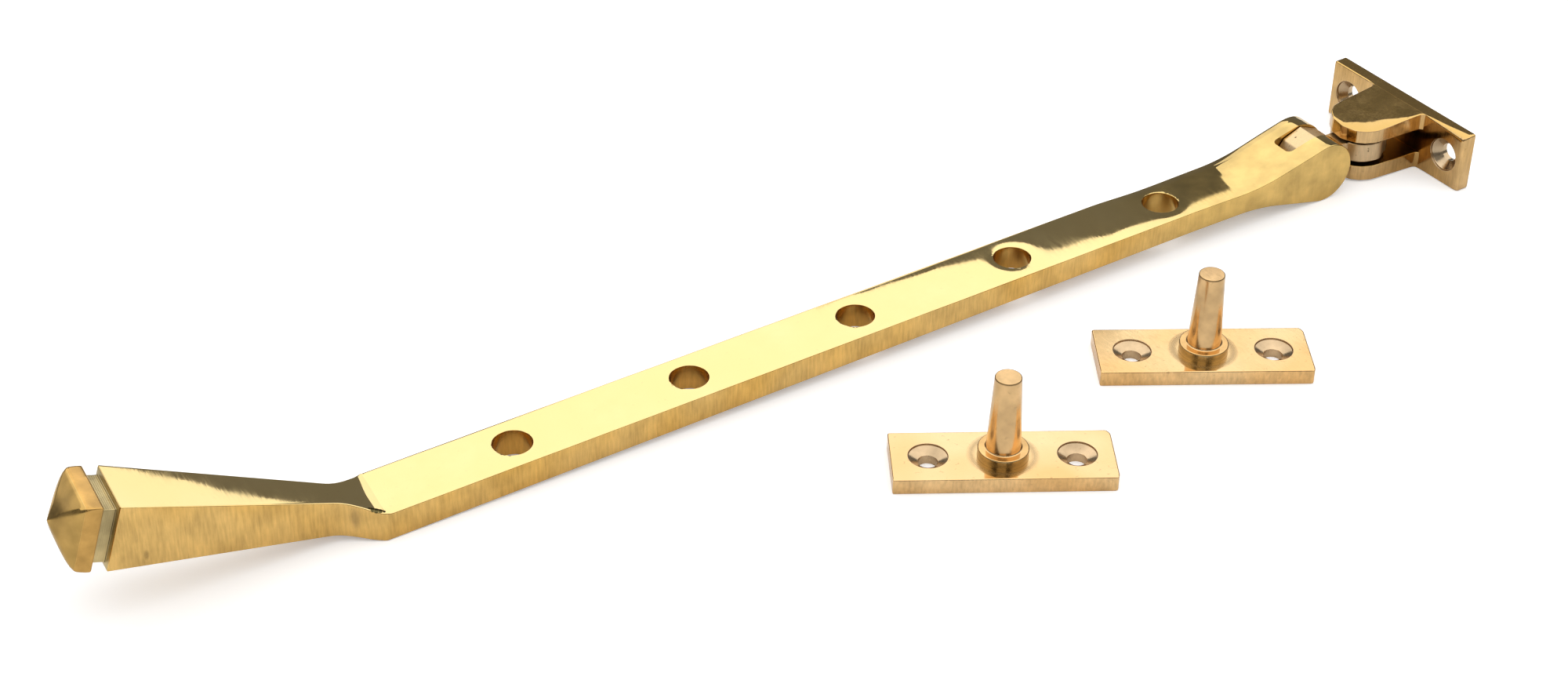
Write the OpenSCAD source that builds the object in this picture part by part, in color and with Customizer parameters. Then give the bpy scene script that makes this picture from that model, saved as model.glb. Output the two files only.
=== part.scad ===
// Casement stay: a drilled arm on a universal joint, its wall bracket and two pin plates.
// Millimetres. The origin is the centre of the bracket plate's back face, +X points out of
// that face, +Z is up, and the stay lies on a surface at the plate's lower edge.

/* [Arm] */
// Number of peg holes in the bar
hole_count = 5; // [3:1:6]
// Distance between neighbouring peg holes
hole_pitch = 42.5; // [36:0.5:50]
// Diameter of each peg hole
hole_d = 8.4; // [8:0.1:10]
// Width of the bar
bar_w = 15; // [13:0.5:16]
// Thickness of the bar beside the handle
bar_t_handle = 6.6; // [5.6:0.1:8]
// Thickness of the bar before the eye
bar_t_eye = 5.6; // [4.8:0.1:7]
// From the arm's pivot to the nearest peg hole
eye_to_hole = 44.2; // [40:0.1:60]
// From the last peg hole to the bend
hole_to_bend = 32.4; // [26:0.1:45]

/* [Eye] */
// Diameter of the round end that holds the pivot
eye_d = 15.2; // [14.4:0.1:17]
// Width of the eye across its two cheeks
eye_w = 16; // [15:0.1:18]
// Slope of the eye's flare, seen from the side
flare_angle = 14; // [10:0.5:18]
// Radius of the hollow where the bar swells into the eye
flare_r = 75; // [40:1:90]
// Width of the slot between the cheeks
slot_w = 6; // [5:0.1:6.6]
// Depth of the slot behind the pivot
slot_depth = 8.2; // [8.1:0.1:10]
// Radius of the slot's inner corners
slot_corner_r = 1.3; // [0.5:0.1:1.4]

/* [Handle] */
// How far the handle is cranked up from the bar
handle_rise = 18; // [10:0.1:25]
// How far the handle leans sideways
handle_yaw = 5.2; // [0:0.1:8]
// Length of the tapered body, from the bend to the groove
handle_len = 55.8; // [45:0.1:75]
// Width of the neck at the bend
neck_w = 5.8; // [5:0.1:7.5]
// Side of the square body at its large end
handle_end = 14.8; // [13:0.1:17]
// Reach of the shoulder in front of and behind the bend
shoulder_reach = 5; // [3.5:0.1:6]
// Radius of the hollow on top of the bend
bend_r = 9; // [4:0.5:16]
// Width of the groove behind the knob
groove_w = 3.2; // [2:0.1:4.5]
// Depth of the groove
groove_depth = 1.3; // [0.6:0.1:2]
// Width of the knob's square band
band_w = 3.5; // [2:0.1:5]
// Height of the knob's low pyramid
pyramid_h = 4.3; // [2:0.1:8]

/* [Bracket] */
// Length of the wall plate
plate_l = 44.6; // [42:0.1:56]
// Thickness of the wall plate
plate_t = 3.6; // [3.2:0.1:5]
// Height of the plate and of the two ears together
bracket_h = 14.9; // [14:0.1:17]
// Bevel round the wall plate
plate_bevel = 0.6; // [0.2:0.1:1]
// From the plate's front face to the upright pivot
ear_reach = 12.2; // [12:0.1:16]
// Radius of the ears' nose round the upright pivot
nose_r = 7.3; // [6.4:0.1:7.6]
// Ground flats on a full turn of the nose
nose_flats = 14; // [13:1:24]
// Width of the ears where they meet the plate
ear_root_w = 16.4; // [15.4:0.1:18]
// Radius between the ears and the plate
ear_fillet_r = 2.4; // [1:0.1:2.6]
// Gap between the two ears
fork_gap = 6.4; // [5.6:0.1:7]
// Fall of the ears' outer faces from the plate to the nose
ear_fall = 0.9; // [0:0.1:1.2]

/* [Swivel link] */
// Distance between the two pivots
pivot_span = 17.2; // [17:0.1:22]
// Play of the tongue in the slot on each side
tongue_play = 0.15; // [0.05:0.05:0.3]
// Radius of the upright tongue round its pivot
tongue_r = 7; // [6:0.1:7]
// Radius of the flat disc round its pivot
disc_r = 6.8; // [6:0.1:7]
// Thickness of the flat disc
disc_t = 4.8; // [4:0.1:5.2]
// Ground flats on a full turn of the tongue and disc
link_flats = 14; // [13:1:24]
// How far the link and arm are turned on the upright pivot where they lie
arm_turn = -2; // [-4:0.1:2]

/* [Pivot pins] */
// Diameter of the pin through the eye
arm_pin_d = 5; // [4:0.1:6]
// Diameter of the pin through the ears
swing_pin_d = 5; // [4:0.1:6]
// Running clearance of each pin in the link, measured on the radius
pin_play = 0.05; // [0.02:0.01:0.09]

/* [Screw holes] */
// Diameter of every screw hole
screw_d = 4.4; // [3.6:0.1:5]
// Diameter of the bracket's countersinks
bracket_csk_d = 8.4; // [7.6:0.1:9]
// Distance between the bracket's screw holes
bracket_pitch = 32.6; // [31:0.1:33.4]
// Diameter of the pin plates' countersinks
pin_csk_d = 8.8; // [7.6:0.1:9.4]
// Distance between a pin plate's screw holes
pin_pitch = 31.2; // [28:0.1:34]

/* [Pin plates] */
// Length of a pin plate
pin_plate_l = 47; // [45:0.1:56]
// Width of a pin plate
pin_plate_w = 16.4; // [14:0.1:20]
// Thickness of a pin plate
pin_plate_t = 3.6; // [3.2:0.1:5]
// Bevel round a pin plate
pin_plate_bevel = 0.3; // [0.1:0.1:1]
// Diameter of the collar below the peg
collar_d = 10.8; // [9:0.1:13]
// Height of the collar
collar_h = 2.2; // [1:0.1:4]
// Radius of the hollow between the collar and the peg
peg_fillet_r = 0.8; // [0.3:0.1:1.1]
// Diameter of the peg at its foot
peg_foot_d = 7.4; // [6:0.1:7.8]
// Diameter of the peg at its top
peg_top_d = 5.7; // [4:0.1:7]
// Height of the peg above its collar
peg_h = 17.8; // [12:0.1:26]
// Bevel round the top of the peg
peg_bevel = 0.3; // [0.1:0.1:0.8]

/* [Places of the pin plates] */
// Pin plate nearer the handle, along the stay
near_pin_x = -162.2; // [-200:0.1:-160]
// Pin plate nearer the handle, across the stay
near_pin_y = -47.5; // [-80:0.1:-40]
// Turn of the pin plate nearer the handle
near_pin_turn = -32.1; // [-45:0.1:0]
// Pin plate nearer the bracket, along the stay
far_pin_x = -102.1; // [-105:0.1:-60]
// Pin plate nearer the bracket, across the stay
far_pin_y = -41.9; // [-80:0.1:-40]
// Turn of the pin plate nearer the bracket
far_pin_turn = -32.4; // [-45:0.1:0]

/* [Hidden] */
$fn = 64;
// How far pieces of one casting run into each other
overlap = 1;
// Longer than any part of the stay
reach = 400;

polished_brass = [0.86, 0.70, 0.36];
bronze = [0.80, 0.58, 0.36];
cast_bronze = [0.72, 0.56, 0.42];

// Heights and places that follow from the sizes above
floor_z = -bracket_h / 2;
swing_x = -plate_t - ear_reach;
eye_r = eye_d / 2;
link_z = floor_z + eye_r;
hole_x = [for (i = [0:hole_count - 1]) -eye_to_hole - i * hole_pitch];
bend_x = -eye_to_hole - (hole_count - 1) * hole_pitch - hole_to_bend;
tongue_t = slot_w - 2 * tongue_play;
band_end = handle_len + groove_w + band_w;

// The arm lies on its eye and on the outer corner of its bend
mitre = bar_t_handle / 2 / cos(handle_rise / 2);
heel = [bend_x - mitre * sin(handle_rise / 2), -mitre * cos(handle_rise / 2)];
arm_lean = asin(eye_r / norm(heel)) - atan(heel[1] / heel[0]);

// A point in the handle's side view, s along its axis and h above it
function handle_point(s, h) = [bend_x - s * cos(handle_rise) + h * sin(handle_rise),
    s * sin(handle_rise) + h * cos(handle_rise)];
// A point in the arm's plan, s along the handle and w to its far side
function handle_plan(s, w) = [bend_x - s * cos(handle_yaw) + w * sin(handle_yaw),
    s * sin(handle_yaw) + w * cos(handle_yaw)];

// Points along the hollow that rounds a corner between two unit directions
hollow_steps = 12;
function hollow(corner, from_dir, to_dir, r) =
    let (turn = acos(from_dir * to_dir),
        start = corner - r * tan(turn / 2) * from_dir,
        normal = (to_dir - cos(turn) * from_dir) / sin(turn))
    [for (i = [0:hollow_steps]) let (a = turn * i / hollow_steps)
        start + r * (sin(a) * from_dir + (1 - cos(a)) * normal)];
function reversed(list) = [for (i = [len(list) - 1:-1:0]) list[i]];
function mirrored(list) = [for (p = list) [p[0], -p[1]]];

// Where the flare's straight flank meets the bar's top line
flank_top = [-eye_r * sin(flare_angle), eye_r * cos(flare_angle)];
flank_run = (flank_top[1] - bar_t_eye / 2) / sin(flare_angle);
flank_foot = flank_top - flank_run * [cos(flare_angle), sin(flare_angle)];

// Side view of the arm, pivot at the origin
module arm_side() {
    flank_dir = [cos(flare_angle), sin(flare_angle)];
    mitre_top = handle_point(0, 0)
        + mitre * [sin(handle_rise / 2), cos(handle_rise / 2)];
    body_top = handle_point(handle_len, handle_end / 2);
    body_bottom = handle_point(handle_len, -handle_end / 2);
    bar_dir = (mitre_top - flank_foot) / norm(mitre_top - flank_foot);
    body_dir = (body_top - mitre_top) / norm(body_top - mitre_top);
    flare = hollow(flank_foot, -flank_dir, bar_dir, flare_r);
    circle(r = eye_r);
    polygon(concat([[0, 0], flank_top], flare, hollow(mitre_top, bar_dir, body_dir, bend_r),
        [body_top, body_bottom, heel], reversed(mirrored(concat([flank_top], flare)))));
}

// Half width of the handle at a place along it
function handle_half(s) = (neck_w + (handle_end - neck_w) * s / handle_len) / 2;
// One side of the shoulder, falling from the bar to the handle along a smooth wave
shoulder_steps = 12;
function shoulder(side) = [for (i = [0:shoulder_steps])
    let (s = shoulder_reach * (2 * i / shoulder_steps - 1),
        fall = (1 - cos(180 * i / shoulder_steps)) / 2,
        half = bar_w / 2 + (handle_half(shoulder_reach) - bar_w / 2) * fall)
    s < 0 ? [bend_x - s, side * half] : handle_plan(s, side * half)];

// One edge of the arm in plan, from the eye to the end of the handle
function plan_edge(side) = concat(
    [[eye_r + overlap, side * eye_w / 2], [-eye_r, side * eye_w / 2],
        [-eye_to_hole + hole_d / 2, side * bar_w / 2]],
    shoulder(side),
    [handle_plan(handle_len, side * handle_half(handle_len))]);

module arm_plan() {
    polygon(concat(plan_edge(1), reversed(plan_edge(-1))));
}

// Puts its children at the bend, with X along the handle
module at_handle() {
    translate([bend_x, 0, 0]) rotate([0, 0, 180 - handle_yaw]) rotate([0, -handle_rise, 0])
        children();
}

// A square bar along X
module square_bar(side, from, to) {
    translate([from, -side / 2, -side / 2]) cube([to - from, side, side]);
}

// The knob: a square band under a low pyramid, behind a groove
module knob() {
    half = handle_end / 2;
    base = band_end;
    square_bar(handle_end - 2 * groove_depth, handle_len - overlap,
        handle_len + groove_w + overlap);
    square_bar(handle_end, handle_len + groove_w, band_end);
    module gable() {
        linear_extrude(height = handle_end, center = true)
            polygon([[base - overlap, -half], [base, -half], [base + pyramid_h, 0],
                [base, half], [base - overlap, half]]);
    }
    intersection() {
        gable();
        rotate([90, 0, 0]) gable();
    }
}

// The slot for the tongue, open at the round end
module eye_slot() {
    linear_extrude(height = 2 * eye_d, center = true) {
        translate([slot_corner_r - slot_depth, -slot_w / 2])
            square([slot_depth + 2 * eye_r, slot_w]);
        for (side = [-1, 1])
            translate([slot_corner_r - slot_depth, side * (slot_w / 2 - slot_corner_r)])
                circle(r = slot_corner_r);
        translate([-slot_depth, slot_corner_r - slot_w / 2])
            square([slot_depth, slot_w - 2 * slot_corner_r]);
    }
}

// Puts the link on the upright pivot, at its height and turned as it lies
module at_link() {
    translate([swing_x, 0, link_z]) rotate(arm_turn) children();
}

// Puts the arm on its pivot, leaning until the bend touches the surface
module at_arm() {
    at_link() translate([-pivot_span, 0, 0]) rotate([0, -arm_lean, 0]) children();
}

module arm() {
    color(polished_brass) at_arm() difference() {
        union() {
            intersection() {
                rotate([90, 0, 0]) linear_extrude(height = 2 * bar_w + reach, center = true)
                    arm_side();
                linear_extrude(height = reach, center = true) arm_plan();
                at_handle() translate([handle_len - 2 * reach, -reach, -reach])
                    cube([2 * reach, 2 * reach, 2 * reach]);
            }
            at_handle() knob();
        }
        for (x = hole_x) translate([x, 0, 0])
            cylinder(d = hole_d, h = 2 * bar_t_handle, center = true);
        eye_slot();
        rotate([90, 0, 0]) cylinder(d = arm_pin_d, h = 2 * eye_w, center = true);
    }
}

// The pin through the eye, riveted flush in the cheeks
module arm_pivot_pin() {
    color(polished_brass) at_arm() rotate([90, 0, 0])
        cylinder(d = arm_pin_d, h = eye_w, center = true);
}

// A regular outline of ground flats, with a flat across its direction
module flats(r, count) {
    polygon([for (i = [0:count - 1])
        let (a = 360 * (i + 0.5) / count) r / cos(180 / count) * [cos(a), sin(a)]]);
}

// Upright tongue in the slot and flat disc in the fork, at right angles
module swivel_link() {
    color(cast_bronze) at_link() difference() {
        union() {
            translate([-pivot_span, 0, 0]) rotate([90, 0, 0])
                linear_extrude(height = tongue_t, center = true) {
                    rotate(180 / link_flats) flats(tongue_r, link_flats);
                    translate([0, -disc_t / 2]) square([pivot_span, disc_t]);
                }
            linear_extrude(height = disc_t, center = true) flats(disc_r, link_flats);
        }
        translate([-pivot_span, 0, 0]) rotate([90, 0, 0])
            cylinder(r = arm_pin_d / 2 + pin_play, h = 2 * tongue_t, center = true);
        cylinder(r = swing_pin_d / 2 + pin_play, h = 4 * tongue_r, center = true);
    }
}

// A block with bevelled edges, centred on Y and Z, its back face at X = 0
module bevelled_plate(l, w, t, bevel) {
    module outline(a, b, c) {
        polygon([[-a / 2 + c, -b / 2], [a / 2 - c, -b / 2], [a / 2, -b / 2 + c],
            [a / 2, b / 2 - c], [a / 2 - c, b / 2], [-a / 2 + c, b / 2],
            [-a / 2, b / 2 - c], [-a / 2, -b / 2 + c]]);
    }
    translate([-t, 0, 0]) intersection() {
        rotate([0, 90, 0]) linear_extrude(height = t) outline(w, l, bevel);
        translate([t, 0, 0]) linear_extrude(height = 2 * w, center = true)
            outline(2 * t, l, bevel);
        translate([t, 0, 0]) rotate([90, 0, 0]) linear_extrude(height = 2 * l, center = true)
            outline(2 * t, w, bevel);
    }
}

// A countersunk screw hole along +Z, its mouth at Z = 0
module screw_hole(csk_d, t) {
    depth = (csk_d - screw_d) / 2;
    translate([0, 0, -t - overlap]) cylinder(d = screw_d, h = t + 2 * overlap);
    translate([0, 0, -depth]) cylinder(d1 = screw_d, d2 = csk_d, h = depth);
    cylinder(d = csk_d, h = overlap);
}

// Plan of the ears: a nose of ground flats, flanks that widen, hollows at the plate
module ear_plan() {
    front = -plate_t;
    root = ear_root_w / 2;
    flank = [front - swing_x, root - nose_r] / norm([front - swing_x, root - nose_r]);
    side = hollow([front, root], flank, [0, 1], ear_fillet_r);
    edge = concat([[swing_x, nose_r]], side, [[front + overlap, side[hollow_steps][1]]]);
    translate([swing_x, 0]) rotate(180) flats(nose_r, nose_flats);
    polygon(concat(edge, reversed(mirrored(edge))));
}

// The space between the ears' outer faces, which fall towards the nose
module ear_envelope() {
    nose_x = swing_x - nose_r - overlap;
    rotate([90, 0, 0]) linear_extrude(height = plate_l, center = true)
        polygon([[0, -bracket_h / 2], [-plate_t, -bracket_h / 2],
            [nose_x, -bracket_h / 2 + ear_fall], [nose_x, bracket_h / 2 - ear_fall],
            [-plate_t, bracket_h / 2], [0, bracket_h / 2]]);
}

module bracket() {
    color(bronze) difference() {
        union() {
            bevelled_plate(plate_l, bracket_h, plate_t, plate_bevel);
            intersection() {
                linear_extrude(height = bracket_h, center = true) ear_plan();
                ear_envelope();
            }
        }
        translate([swing_x - 2 * nose_r, -plate_l / 2, -fork_gap / 2])
            cube([2 * nose_r + ear_reach, plate_l, fork_gap]);
        translate([swing_x, 0, 0]) cylinder(d = swing_pin_d, h = 2 * bracket_h, center = true);
        for (side = [-1, 1]) translate([-plate_t, side * bracket_pitch / 2, 0])
            rotate([0, -90, 0]) screw_hole(bracket_csk_d, plate_t);
    }
}

// The pin through the ears, riveted and ground flush with their faces
module bracket_pivot_pin() {
    color(bronze) intersection() {
        translate([swing_x, 0, 0]) cylinder(d = swing_pin_d, h = bracket_h, center = true);
        ear_envelope();
    }
}

// The peg and its collar, standing at the origin
module peg() {
    foot = peg_foot_d / 2;
    rotate_extrude() {
        difference() {
            polygon([[0, -overlap], [collar_d / 2, -overlap], [collar_d / 2, collar_h - peg_bevel],
                [collar_d / 2 - peg_bevel, collar_h], [foot + peg_fillet_r, collar_h],
                [foot, collar_h + peg_fillet_r], [peg_top_d / 2, collar_h + peg_h - peg_bevel],
                [peg_top_d / 2 - peg_bevel, collar_h + peg_h], [0, collar_h + peg_h]]);
            translate([foot + peg_fillet_r, collar_h + peg_fillet_r]) circle(r = peg_fillet_r);
        }
    }
}

// A countersunk plate with an upright peg, lying on the surface
module pin_plate(x, y, turn) {
    color(bronze) translate([x, y, floor_z]) rotate(turn) {
        difference() {
            rotate([0, 90, 90]) bevelled_plate(pin_plate_l, pin_plate_w, pin_plate_t,
                pin_plate_bevel);
            for (side = [-1, 1]) translate([side * pin_pitch / 2, 0, pin_plate_t])
                screw_hole(pin_csk_d, pin_plate_t);
        }
        translate([0, 0, pin_plate_t]) peg();
    }
}

arm();
arm_pivot_pin();
swivel_link();
bracket();
bracket_pivot_pin();
pin_plate(near_pin_x, near_pin_y, near_pin_turn);  // pin_plate_near_handle
pin_plate(far_pin_x, far_pin_y, far_pin_turn);  // pin_plate_near_bracket
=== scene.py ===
import math

import bmesh
import bpy
import numpy as np
from mathutils import Matrix, Vector


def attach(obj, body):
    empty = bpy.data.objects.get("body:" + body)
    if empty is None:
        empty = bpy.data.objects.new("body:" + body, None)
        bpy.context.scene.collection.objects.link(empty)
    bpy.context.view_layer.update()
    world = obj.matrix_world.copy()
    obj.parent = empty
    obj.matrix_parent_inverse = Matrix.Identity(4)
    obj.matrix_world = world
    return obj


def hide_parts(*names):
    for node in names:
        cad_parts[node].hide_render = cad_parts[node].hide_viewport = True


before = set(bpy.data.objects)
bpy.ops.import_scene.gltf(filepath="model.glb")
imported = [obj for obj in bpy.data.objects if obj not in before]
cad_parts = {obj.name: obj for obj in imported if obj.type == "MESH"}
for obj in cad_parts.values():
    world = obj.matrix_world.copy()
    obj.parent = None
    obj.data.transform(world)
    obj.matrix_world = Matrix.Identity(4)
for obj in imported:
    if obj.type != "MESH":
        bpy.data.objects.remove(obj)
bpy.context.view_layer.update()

mm = 0.001
weldReach = 0.002  # millimetres; points nearer than this are one point


# Mesh helpers. Points are rows of millimetres in the row frame, faces are rows of indices.

def makePiece(name, points, faces, material):
    # a mesh object at the row frame's origin, from points in millimetres
    mesh = bpy.data.meshes.new(name)
    mesh.from_pydata((points * mm).tolist(), [], faces.tolist())
    mesh.materials.append(material)
    piece = bpy.data.objects.new(name, mesh)
    bpy.context.scene.collection.objects.link(piece)
    return piece


def gridFaces(rows, columns):
    # quads between neighbouring rings, each ring closed on itself
    r, c = np.meshgrid(np.arange(rows - 1), np.arange(columns), indexing="ij")
    a = (r * columns + c).ravel()
    b = (r * columns + (c + 1) % columns).ravel()
    return np.stack([a, b, b + columns, a + columns], axis=1)


def closeSeams(piece):
    # points that lie together become one, and every face turns outwards
    shape = bmesh.new()
    shape.from_mesh(piece.data)
    bmesh.ops.remove_doubles(shape, verts=shape.verts, dist=weldReach * mm)
    bmesh.ops.dissolve_degenerate(shape, edges=shape.edges, dist=1e-7)
    bmesh.ops.recalc_face_normals(shape, faces=shape.faces)
    shape.to_mesh(piece.data)
    shape.free()


def settle(piece, smoothAngle, flatAngle=0):
    # modifiers become mesh, faces in one plane become one, and broad faces then lead the
    # shading of the narrow ones beside them
    bpy.context.view_layer.update()
    solid = bpy.data.meshes.new_from_object(
        piece.evaluated_get(bpy.context.evaluated_depsgraph_get()))
    piece.modifiers.clear()
    piece.data = solid
    if flatAngle:
        shape = bmesh.new()
        shape.from_mesh(solid)
        bmesh.ops.dissolve_limit(shape, angle_limit=math.radians(flatAngle),
                                 verts=shape.verts, edges=shape.edges)
        shape.to_mesh(solid)
        shape.free()
    solid.shade_smooth()
    solid.set_sharp_from_angle(angle=math.radians(smoothAngle))
    weigh = piece.modifiers.new("shading", "WEIGHTED_NORMAL")
    weigh.weight = 60
    weigh.keep_sharp = True
    bpy.context.view_layer.update()
    final = bpy.data.meshes.new_from_object(
        piece.evaluated_get(bpy.context.evaluated_depsgraph_get()))
    piece.modifiers.clear()
    piece.data = final
    final.name = piece.name


def combine(piece, operation, tools, smoothAngle=30, flatAngle=0):
    # solids are joined to the piece or cut from it, and the tools are thrown away
    for tool in tools:
        step = piece.modifiers.new(tool.name, "BOOLEAN")
        step.operation = operation
        step.solver = "EXACT"
        step.object = tool
    settle(piece, smoothAngle, flatAngle)
    for tool in tools:
        bpy.data.objects.remove(tool)


def fromNode(node, name, material, bevel):
    # a merged copy of a solid with its edges rounded
    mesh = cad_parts[node].data.copy()
    mesh.materials.clear()
    mesh.materials.append(material)
    shape = bmesh.new()
    shape.from_mesh(mesh)
    bmesh.ops.remove_doubles(shape, verts=shape.verts, dist=weldReach * mm)
    bmesh.ops.dissolve_limit(shape, angle_limit=math.radians(0.4), verts=shape.verts,
                             edges=shape.edges)
    shape.to_mesh(mesh)
    shape.free()
    piece = bpy.data.objects.new(name, mesh)
    bpy.context.scene.collection.objects.link(piece)
    edge = piece.modifiers.new("edges", "BEVEL")
    edge.width = bevel * mm
    edge.segments = 3
    edge.limit_method = "ANGLE"
    edge.angle_limit = math.radians(30)
    settle(piece, 40)
    return piece


def finishPiece(piece, body, nodes):
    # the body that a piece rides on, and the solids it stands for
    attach(piece, body)
    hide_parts(*nodes)


def smoothStep(x):
    # 0 below 0, 1 above 1 and between them three x squared less two x cubed
    x = np.clip(x, 0, 1)
    return x * x * (3 - 2 * x)


def evenLine(corners, step, soften):
    # a closed outline walked at an even step, its corners eased by passes of a 1-2-1 mean
    loop = np.vstack([corners, corners[:1]])
    length = np.r_[0, np.cumsum(np.linalg.norm(np.diff(loop, axis=0), axis=1))]
    at = np.linspace(0, length[-1], int(length[-1] / step), endpoint=False)
    line = np.stack([np.interp(at, length, loop[:, k]) for k in (0, 1)], axis=1)
    for _ in range(soften):
        line = (np.roll(line, 1, 0) + 2 * line + np.roll(line, -1, 0)) / 4
    return line


def outwards(outline):
    # unit normals of a closed outline, pointing away from its middle; they are eased along
    # the line, so that a line moved along them doesn't cross itself at a corner
    ahead = np.roll(outline, -1, 0) - np.roll(outline, 1, 0)
    normal = np.stack([ahead[:, 1], -ahead[:, 0]], axis=1)
    for _ in range(12):
        normal /= np.linalg.norm(normal, axis=1, keepdims=True)
        normal = (np.roll(normal, 1, 0) + 2 * normal + np.roll(normal, -1, 0)) / 4
    normal /= np.linalg.norm(normal, axis=1, keepdims=True)
    return normal if ((outline - outline.mean(0)) * normal).sum() > 0 else -normal


def slab(outline, inner, centre, top, bottom, deep, foot=0.2, fill=8, lift=None):
    # a closed plate on an outline: rings run from the centre of the top out to its inner
    # edge, over a quarter ellipse of the given depth to the outline, down the wall and back
    # in below; lift(x, y) is added to the height of the upper rings
    one = np.ones(len(outline))
    low = outline - outwards(outline) * (foot * one)[:, None]
    turn = np.linspace(0, np.pi / 2, 10)
    rings = [np.column_stack([centre + pull * (inner - centre), top * one])
             for pull in np.linspace(0, 1, fill + 1)[:-1]]
    rings += [np.column_stack([inner + (outline - inner) * math.sin(a),
                               top - deep * (1 - math.cos(a))]) for a in turn]
    rings += [np.column_stack([outline, (top - deep) * (1 - share) + (bottom + foot) * share])
              for share in (0.35, 0.7)]
    rings += [np.column_stack([low + (outline - low) * math.sin(a),
                               bottom + foot * one * (1 - math.cos(a))])
              for a in turn[::-3]]
    rings += [np.column_stack([centre + pull * (low - centre), bottom * one])
              for pull in (0.6, 0)]
    points = np.array(rings)
    if lift is not None:
        upper = fill + len(turn)
        points[:upper, :, 2] += lift(points[:upper, :, 0], points[:upper, :, 1])
    return points.reshape(-1, 3), gridFaces(len(rings), len(outline))


def lathe(profile, count=72):
    # a profile of (radius, height) turned about the third axis
    profile = np.asarray(profile, float)
    turn = np.linspace(0, 2 * np.pi, count, endpoint=False)
    ring = np.stack([profile[:, :1] * np.cos(turn), profile[:, :1] * np.sin(turn),
                     np.repeat(profile[:, 1:], count, 1)], axis=2)
    return ring.reshape(-1, 3), gridFaces(len(profile), count)


def countersink(s):
    # cutter for a screw hole whose mouth is at height 0: a straight bore, a cone with small
    # rounds at both ends, a short straight wall, and a mouth that opens in a quarter round
    r, big, rim, wall = s["bore"], s["mouth"], s["rim"], s["wall"]
    a = np.linspace(0, np.pi / 2, 6)
    mouth = np.stack([big + rim * (1 - np.cos(a)), rim * (np.sin(a) - 1) + 0.02], axis=1)
    deep = rim + wall
    cone = np.stack([np.linspace(r + 0.1, big - 0.1, 7),
                     np.linspace(-deep - (big - r) * s["slope"], -deep - 0.08, 7)], axis=1)
    return lathe(np.vstack([[[0, -s["through"]], [r, -s["through"]],
                             [r, cone[0, 1] - 0.12]], cone, [[big, -deep + 0.05]], mouth,
                            [[big + rim, 2], [0, 2]]]))


# Finishes

grain = {  # noise cells per metre, and the noise values between which each mask rises
    "lines": 1900, "wave": 75, "cloud": 170, "speck": 900, "drift": 38,
    "speckFrom": 0.66, "speckTo": 0.74, "glossFrom": 0.38, "glossTo": 0.62,
    "driftFrom": 0.4, "driftTo": 0.62, "sideFrom": 0.55, "sideTo": 0.85,
    "mottle": {"From Min": 0.33, "From Max": 0.67, "To Min": 0.76, "To Max": 1.24},
}


def noise(nodes, links, vector, scale, detail):
    # a cloudy value about 0.5 at each place of a vector
    texture = nodes.new("ShaderNodeTexNoise")
    texture.inputs["Scale"].default_value = scale
    texture.inputs["Detail"].default_value = detail
    links.new(vector, texture.inputs["Vector"])
    return texture.outputs[0]


def math2(nodes, links, operation, a, b):
    # one sum on two values, each a number or a socket
    step = nodes.new("ShaderNodeMath")
    step.operation = operation
    for socket, value in zip(step.inputs, (a, b)):
        if isinstance(value, (int, float)):
            socket.default_value = value
        else:
            links.new(value, socket)
    return step.outputs[0]


def ramp(n, links, value, low, high):
    # 0 up to low, 1 from high
    step = n.new("ShaderNodeMapRange")
    links.new(value, step.inputs["Value"])
    step.inputs["From Min"].default_value = low
    step.inputs["From Max"].default_value = high
    return step.outputs[0]


def makeMarksGroup():
    # height is line depth times fine lines plus wave depth times slow waves; roughness
    # goes from low to high by the mean of cloud and lines, which is the streak; specks are
    # the peaks of a finer noise
    group = bpy.data.node_groups.new("polishMarks", "ShaderNodeTree")
    group.interface.new_socket("Across", in_out="INPUT", socket_type="NodeSocketVector")
    for label in ("Line Depth", "Wave Depth", "Rough Low", "Rough High"):
        group.interface.new_socket(label, in_out="INPUT", socket_type="NodeSocketFloat")
    for label in ("Roughness", "Height", "Cloud", "Streak", "Speck"):
        group.interface.new_socket(label, in_out="OUTPUT", socket_type="NodeSocketFloat")
    n, links = group.nodes, group.links
    given, out = n.new("NodeGroupInput"), n.new("NodeGroupOutput")
    where = n.new("ShaderNodeTexCoord").outputs["Object"]
    stretch = n.new("ShaderNodeVectorMath")
    stretch.operation = "MULTIPLY"
    links.new(where, stretch.inputs[0])
    links.new(given.outputs["Across"], stretch.inputs[1])
    lines = noise(n, links, stretch.outputs[0], grain["lines"], 4)
    wave = noise(n, links, where, grain["wave"], 1)
    cloud = noise(n, links, where, grain["cloud"], 5)
    speck = ramp(n, links, noise(n, links, where, grain["speck"], 3), grain["speckFrom"],
                 grain["speckTo"])
    height = math2(n, links, "ADD",
                   math2(n, links, "MULTIPLY", lines, given.outputs["Line Depth"]),
                   math2(n, links, "MULTIPLY", wave, given.outputs["Wave Depth"]))
    links.new(height, out.inputs["Height"])
    gloss = n.new("ShaderNodeMapRange")
    streak = math2(n, links, "MULTIPLY", math2(n, links, "ADD", cloud, lines), 0.5)
    links.new(streak, gloss.inputs["Value"])
    links.new(streak, out.inputs["Streak"])
    gloss.inputs["From Min"].default_value = grain["glossFrom"]
    gloss.inputs["From Max"].default_value = grain["glossTo"]
    links.new(given.outputs["Rough Low"], gloss.inputs["To Min"])
    links.new(given.outputs["Rough High"], gloss.inputs["To Max"])
    links.new(gloss.outputs[0], out.inputs["Roughness"])
    links.new(cloud, out.inputs["Cloud"])
    links.new(speck, out.inputs["Speck"])
    return group


polishMarks = makeMarksGroup()


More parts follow.
